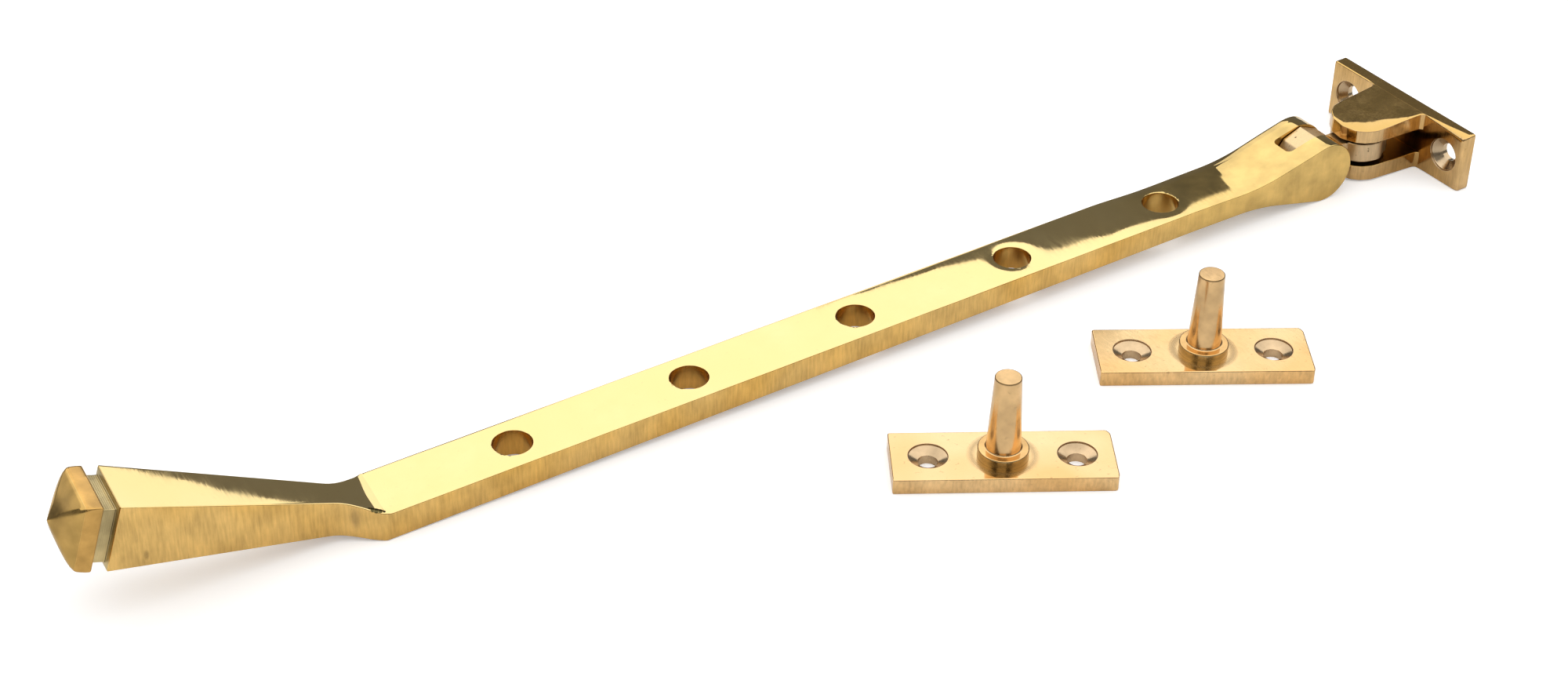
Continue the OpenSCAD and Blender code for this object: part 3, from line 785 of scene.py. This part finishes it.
def buildBracket():
    # the plate less its screw holes, joined to the two ears
    b, swingX = bracketSizes, placing["swingX"]
    zones = [{"middle": (-b["thick"], y, 0), "across": (0, 1, 1), "from": -1,
              "to": screwHole["mouth"] + 0.05, "tone": (0.60, 0.45, 0.28), "rough": 0.1,
              "rings": (0.3, 0.012)} for y in (-b["screwPitch"] / 2, b["screwPitch"] / 2)]
    # painted shade: a near-black box in the fork's hollow between the ears
    zones.append({"middle": b["fork"][0], "half": b["fork"][1], "from": -20, "to": -0.1,
                  "tone": (0.02, 0.013, 0.007), "rough": 0.3})
    bronze = makeMetal("bracketBronze", {**finishes["bracketBronze"], "zones": zones})
    outline = earOutline(b, swingX)
    hub = np.array(b["hub"])
    wide = rollAround(outline, (swingX, 0), b["wornWide"])
    deep = rollAround(outline, (swingX, 0), b["wornDeep"])

    def fall(x, y):
        # an ear's outer face sinks evenly from the hub to the nose
        return -b["fall"] * np.clip((hub[0] - x) / b["fallLength"], 0, None)

    top = b["halfHeight"] - b["sink"]
    # the edges are left square inside the plate
    free = smoothStep((-b["thick"] - outline[:, 0] + 0.6) / 0.8)
    inner = outline - outwards(outline) * (wide * free)[:, None]
    points, faces = slab(outline, inner, hub, top, b["gapHalf"], deep * free, 0.2 * free, 10,
                         fall)
    upper = makePiece("upperEar", points, faces, bronze)
    inner = outline - outwards(outline) * (b["lowerWide"] * free)[:, None]
    points, faces = slab(outline, inner, hub, top, b["gapHalf"], b["lowerDeep"] * free,
                         0.2 * free, 10, fall)
    lower = makePiece("lowerEar", points * (1, 1, -1), faces, bronze)
    # wall plate: its outline stands in Y and Z and its height runs towards -X
    h, l, w = b["halfHeight"], b["halfLength"], b["plateWear"]
    edge = evenLine(np.array([(-l, -h), (l, -h), (l, h), (-l, h)]), 0.3, 3)
    u = edge[:, 0]
    worn = np.clip((-u - w["from"]) / (l - w["from"]), 0, 1)
    offEar = smoothStep((np.abs(u) - w["earEnd"]) / w["earFade"])

    def wear(top, low):
        # the least wear, and off the ears the top edge's or the lower edge's
        least, growth, power = top
        return w["least"] + offEar * np.where(edge[:, 1] > 0, least + growth * worn ** power,
                                              low)

    wideV = wear(w["topWide"], w["lowWide"])
    wideU = np.where(u < 0, w["nearWide"], w["farWide"])
    inner = edge * (1 - np.column_stack([wideU / l, wideV / h]))
    atEnd = np.abs(u) > l - w["endReach"]
    deep = np.where(atEnd, np.interp(edge[:, 1], (-h, h), w["nearDeep"]),
                    wear(w["topDeep"], w["lowDeep"]))
    deep = np.where(atEnd & (u > 0), w["farDeep"], deep)
    for _ in range(6):
        deep = (np.roll(deep, 1) + 2 * deep + np.roll(deep, -1)) / 4
    points, faces = slab(edge, inner, (0, 0), b["thick"], 0, deep, 0.3, 10)
    plate = makePiece("wallBracket", np.stack([-points[:, 2], points[:, 0], points[:, 1]], 1),
                      faces, bronze)
    cutters = []
    for side in (-1, 1):
        ring, quads = countersink(screwHole)
        place = np.stack([-ring[:, 2] - b["thick"], ring[:, 0] + side * b["screwPitch"] / 2,
                          ring[:, 1]], axis=1)
        cutters.append(makePiece("cut", place, quads, bronze))
    for piece in (upper, lower, plate, *cutters):
        closeSeams(piece)
    combine(plate, "DIFFERENCE", cutters)
    combine(plate, "UNION", (upper, lower), 30, 0.3)
    finishPiece(plate, "bracket", ["bracket"])
    finishPiece(fromNode("bracket_pivot_pin", "bracketPin", bronze, placing["pinBevel"]),
                "bracket", ["bracket_pivot_pin"])


buildBracket()
print("bracket ready")


linkSizes = {  # millimetres; swing pivot at the origin, tongue towards -X
    "tongueHalf": 2.85, "discHalf": 2.4, "discRadius": 6.85, "edge": 0.25,
    "tongueCuts": (19, 47, 90, 132, 161, 190, 215, 240, 270, 300, 341),
    "tongueRadius": 7.42, "neckEnd": 17,
    # the disc is ground in seven shallow waves, with a flat at an angle in degrees
    "waveCount": 7, "waveDepth": 0.12, "flatAt": 300, "flatSpread": 14, "flatDepth": 0.5,
}


def buildLink():
    # an upright tongue with filed flats about the eye's pin, and a flat disc in the fork
    k, bronze = linkSizes, makeMetal("linkBronze", finishes["linkBronze"])
    cuts = np.radians(k["tongueCuts"])
    nose = k["tongueRadius"] * np.stack([np.cos(cuts), np.sin(cuts)], axis=1)
    neck = np.array([(k["neckEnd"], -k["discHalf"] + 0.05),
                     (k["neckEnd"], k["discHalf"] - 0.05)])
    edge = evenLine(np.vstack([nose, neck]), 0.2, 2)
    inner = edge - outwards(edge) * k["edge"]
    points, faces = slab(edge, inner, (0, 0), k["tongueHalf"], -k["tongueHalf"],
                         np.full(len(edge), k["edge"]), k["edge"], 8)
    points = np.stack([points[:, 0] - placing["pivotSpan"], points[:, 2], points[:, 1]], 1)
    tongue = makePiece("tongue", points, faces, bronze)
    turn = np.linspace(0, 2 * np.pi, 96, endpoint=False)
    radius = k["discRadius"] - k["waveDepth"] * (1 + np.cos(k["waveCount"] * turn)) / 2
    radius = radius - k["flatDepth"] * np.exp(
        -((np.degrees(turn) - k["flatAt"]) / k["flatSpread"]) ** 2)
    disc = radius[:, None] * np.stack([np.cos(turn), np.sin(turn)], axis=1)
    points, faces = slab(disc, disc * 0.965, (0, 0), k["discHalf"], -k["discHalf"],
                         np.full(len(disc), 0.3), k["edge"], 6)
    piece = makePiece("swivelLink", points, faces, bronze)
    closeSeams(tongue)
    closeSeams(piece)
    combine(piece, "UNION", [tongue], 30, 0.3)
    at = math.radians(placing["armTurn"])
    turned = Matrix(((math.cos(at), -math.sin(at), 0, placing["swingX"] * mm),
                     (math.sin(at), math.cos(at), 0, 0), (0, 0, 1, placing["linkZ"] * mm),
                     (0, 0, 0, 1)))
    piece.data.transform(turned)
    finishPiece(piece, "link", ["swivel_link"])


buildLink()
print("link ready")


pinSizes = {  # millimetres; plate on the surface, peg on its middle
    "halfLength": 23.5, "halfWidth": 8.2, "thick": 3.6, "pitch": 31.2, "roll": 0.3,
    "collar": 5.4, "collarTop": 5.8, "foot": 3.7, "footRound": 0.35, "tip": 2.85,
    "top": 23.6, "edge": 0.28,
    # how far the plate's two corners at one end are cut, along it and across it
    "nearCut": (0.3, 1), "farCut": (0.7, 1.2),
}
pinPlaces = {  # node, then the peg's X and Y in millimetres and the plate's turn in degrees
    "pinPlateNearHandle": ("pin_plate_near_handle", -162.2, -47.5, -32.1),
    "pinPlateNearBracket": ("pin_plate_near_bracket", -102.1, -41.9, -32.4),
}


def pegProfile(k):
    # radius and height from the root inside the plate to the middle of the top
    a = np.linspace(0, np.pi / 2, 6)
    root = np.array([(0, k["thick"] - 1.2), (k["collar"], k["thick"] - 1.2)])
    e, f = k["edge"], k["footRound"]
    rim = np.stack([k["collar"] - e + e * np.cos(a), k["collarTop"] - e + e * np.sin(a)], 1)
    hollow = np.stack([k["foot"] + f - f * np.sin(a), k["collarTop"] + f - f * np.cos(a)], 1)
    tip = np.stack([k["tip"] - e + e * np.cos(a), k["top"] - e + e * np.sin(a)], 1)
    share = np.linspace(0, 1, 9)[1:-1, None]
    wall = hollow[-1] + share * (tip[0] - hollow[-1])
    return np.vstack([root, rim, hollow, wall, tip, [(0, k["top"])]])


def buildPinPlate(name, node, x, y, turn):
    # a plate joined to its peg, less its screw holes, turned and set down on the floor
    k, at = pinSizes, math.radians(turn)
    l, w = k["halfLength"], k["halfWidth"]
    run = np.array([math.cos(at), math.sin(at)]) * k["pitch"] / 2
    zones = [{"middle": (x + side * run[0], y + side * run[1], 0), "across": (1, 1, 0),
              "from": -1, "to": pinHole["mouth"] + 0.05, "tone": (0.58, 0.42, 0.25),
              "rough": 0.1, "rings": (0.3, 0.012)} for side in (-1, 1)]
    # the peg, its flat, the collar's wall in a darker tone that is painted shade, and a dark line
    # round the peg's top
    zones += [{"middle": (x, y, 0), "across": (1, 1, 0), "soft": 0.02, **ring} for ring in (
        {"from": -1, "to": k["foot"] + 0.2, "tone": (0.64, 0.42, 0.20)},
        {"from": k["foot"] + 0.2, "to": k["collar"] - 0.1, "tone": (0.68, 0.42, 0.17)},
        # painted shade on the collar's wall
        {"from": k["collar"] - 0.1, "to": k["collar"] + 0.04, "tone": (0.36, 0.25, 0.11)},
        {"from": k["tip"] - 0.16, "to": k["tip"] - 0.01, "tone": (0.16, 0.10, 0.04),
         "rough": 0.2, "share": 0.8})]
    zones.append({"middle": (x, y, 0), "across": (1, 1, 0), "from": k["collar"] + 0.05,
                  "to": k["collar"] + 1.2, "soft": 1.2, "tone": (0.45, 0.33, 0.18),
                  "rough": 0.2, "share": 0.5, "rings": (0.4, 0.02)})
    bronze = makeMetal(name + "Bronze", {**finishes["pinBronze"], "zones": zones})
    near, far = k["nearCut"], k["farCut"]
    edge = evenLine(np.array([(-l, -w), (l - near[0], -w), (l, -w + near[1]),
                              (l, w - far[1]), (l - far[0], w), (-l, w)]), 0.3, 2)
    inner = edge * (1 - np.array([k["roll"] / l, k["roll"] / w]))
    points, faces = slab(edge, inner, (0, 0), k["thick"], 0, np.full(len(edge), k["roll"]),
                         0.2, 8)
    piece = makePiece(name, points, faces, bronze)
    ring, quads = lathe(pegProfile(k), 96)
    peg = makePiece("peg", ring, quads, bronze)
    cutters = []
    for side in (-1, 1):
        ring, quads = countersink(pinHole)
        cutters.append(makePiece("cut", ring + (side * k["pitch"] / 2, 0, k["thick"]), quads,
                                 bronze))
    for part in (piece, peg, *cutters):
        closeSeams(part)
    combine(piece, "UNION", [peg])
    combine(piece, "DIFFERENCE", cutters, 30, 0.3)
    piece.data.transform(Matrix((
        (math.cos(at), -math.sin(at), 0, x * mm), (math.sin(at), math.cos(at), 0, y * mm),
        (0, 0, 1, placing["floor"] * mm), (0, 0, 0, 1))))
    finishPiece(piece, "arm", [node])


for plateName, plateAt in pinPlaces.items():
    buildPinPlate(plateName, *plateAt)
print("pin plates ready")


# Floor, cards and camera

def plainEmitter(name, strength):
    # white light of one strength
    material = bpy.data.materials.new(name)
    material.use_nodes = True
    n, links = material.node_tree.nodes, material.node_tree.links
    n.remove(n["Principled BSDF"])
    glow = n.new("ShaderNodeEmission")
    glow.inputs["Strength"].default_value = strength
    links.new(glow.outputs[0], n["Material Output"].inputs["Surface"])
    return material


def flatCard(name, corners, material, seen=False):
    # a card lights the part and shows in its reflections, but hides nothing from a camera
    piece = makePiece(name, np.array(corners, float) / mm,
                      np.arange(len(corners))[None, :], material)
    piece.visible_camera = seen


studio = {  # metres, degrees and strengths
    "floorHalf": 4,
    "floorColour": 0.88, "floorLift": 0.3, "room": 0.17, "softbox": 1.45,
    "patch": 1.3, "frontPatch": 1.1, "height": 1.0, "bearing": 48, "middle": (-0.12, 0),
    # far edge of the softbox: (to the left, away) from above the middle
    "farEdge": ((2.2, 1.48), (0.52, 1.48), (0.5, 2.0), (0.26, 2.0), (0.25, 1.48),
                (0.21, 1.46), (0.17, 1.485), (0.12, 1.52), (0.10, 1.515), (0.01, 1.455),
                (-0.04, 1.438), (-0.06, 1.457), (-0.08, 1.51), (-0.12, 1.54),
                (-2.2, 1.54)),
    "nearEdge": ((-2.2, -1.0), (2.2, -1.0)),
    # pale patch low behind, 1.2 m from the handle: (to the left, height)
    "patchBearing": 46.5, "patchFrom": (-0.30, 0), "patchAway": 1.2,
    "patchShape": ((-0.035, 0.40), (-0.02, 0.401), (0.01, 0.409), (0.025, 0.414),
                   (0.035, 0.412), (0.07, 0.422), (0.35, 0.50), (0.35, 0.70),
                   (0.03, 0.70), (-0.035, 0.472)),
    # upright patches behind the camera and beyond the knob: (to the left, height)
    "frontAway": -1.3, "frontShape": ((-0.45, 0.62), (0.45, 0.62), (0.45, 1.1),
                                      (-0.45, 1.1)),
    "sideBearing": 119, "sideAway": 1.5, "sidePatch": 0.9,
    "sideShape": ((-0.45, 0.26), (0.45, 0.26), (0.45, 1.1), (-0.45, 1.1)),
}


def across(start, bearing, left, away):
    # a point on the floor plane seen from a start: to the left of and along a bearing
    a = math.radians(bearing)
    return (start[0] + away * math.cos(a) - left * math.sin(a),
            start[1] + away * math.sin(a) + left * math.cos(a))


def buildStage(s):
    # the paper floor, the cards about the part, and a world that is grey to the part and
    # white to the camera
    paper = bpy.data.materials.new("paper")
    paper.use_nodes = True
    n, links = paper.node_tree.nodes, paper.node_tree.links
    surface = n["Principled BSDF"]
    surface.inputs["Base Color"].default_value = (*[s["floorColour"]] * 3, 1)
    surface.inputs["Roughness"].default_value = 0.9
    surface.inputs["Specular IOR Level"].default_value = 0
    surface.inputs["Emission Color"].default_value = (1, 1, 1, 1)
    seen = n.new("ShaderNodeLightPath").outputs["Is Camera Ray"]
    links.new(math2(n, links, "MULTIPLY", seen, s["floorLift"]),
              surface.inputs["Emission Strength"])
    z, f = placing["floor"] * mm, s["floorHalf"]
    flatCard("floor", [(-f, -f, z), (f, -f, z), (f, f, z), (-f, f, z)], paper, True)
    # softbox above: beyond its far edge the bar's top shows the dark room
    outline = evenLine(np.array([*s["farEdge"], *s["nearEdge"]]), 0.008, 5)
    flatCard("softbox", [(*across(s["middle"], s["bearing"], left, away), s["height"])
                         for left, away in outline], plainEmitter("softbox", s["softbox"]))
    # a pale patch that the handle's top shows, and one behind the camera
    flatCard("palePatch",
             [(*across(s["patchFrom"], s["patchBearing"], left, s["patchAway"]), high)
              for left, high in evenLine(np.array(s["patchShape"]), 0.003, 4)],
             plainEmitter("palePatch", s["patch"]))
    flatCard("frontPatch",
             [(*across(s["middle"], s["bearing"], left, s["frontAway"]), high)
              for left, high in s["frontShape"]],
             plainEmitter("frontPatch", s["frontPatch"]))
    # and one beyond the knob, for its pyramid
    flatCard("sidePatch",
             [(*across(s["patchFrom"], s["sideBearing"], left, s["sideAway"]), high)
              for left, high in s["sideShape"]],
             plainEmitter("sidePatch", s["sidePatch"]))
    world = bpy.data.worlds.new("studio")
    bpy.context.scene.world = world
    world.use_nodes = True
    n, links = world.node_tree.nodes, world.node_tree.links
    room = n["Background"]
    room.inputs["Color"].default_value = (1, 1, 1, 1)
    room.inputs["Strength"].default_value = s["room"]
    white = n.new("ShaderNodeBackground")
    white.inputs["Color"].default_value = (1, 1, 1, 1)
    white.inputs["Strength"].default_value = 1
    mix = n.new("ShaderNodeMixShader")
    links.new(n.new("ShaderNodeLightPath").outputs["Is Camera Ray"], mix.inputs[0])
    links.new(room.outputs[0], mix.inputs[1])
    links.new(white.outputs[0], mix.inputs[2])
    links.new(mix.outputs[0], n["World Output"].inputs["Surface"])


buildStage(studio)

cameraView = {  # fitted to the photograph; metres and millimetres
    "place": (-0.47609, -0.41079, 0.35988), "view": (0.47271, 0.66656, -0.5764),
    "right": (0.8222, -0.56897, 0.01632), "lens": 66.36, "sensor": 36,
}


def buildCamera(c):
    # a camera looking along the view, its right made square to it
    data = bpy.data.cameras.new("camera")
    data.lens, data.sensor_width = c["lens"], c["sensor"]
    data.clip_start, data.clip_end = 0.02, 20
    camera = bpy.data.objects.new("camera", data)
    view = np.array(c["view"]) / np.linalg.norm(c["view"])
    right = np.array(c["right"])
    right = right - view * (right @ view)
    right /= np.linalg.norm(right)
    up = np.cross(right, view)
    camera.matrix_world = Matrix((
        (right[0], up[0], -view[0], c["place"][0]), (right[1], up[1], -view[1], c["place"][1]),
        (right[2], up[2], -view[2], c["place"][2]), (0, 0, 0, 1)))
    bpy.context.scene.collection.objects.link(camera)
    bpy.context.scene.camera = camera


buildCamera(cameraView)
bpy.context.scene.view_settings.view_transform = "Standard"
print("camera and light ready")
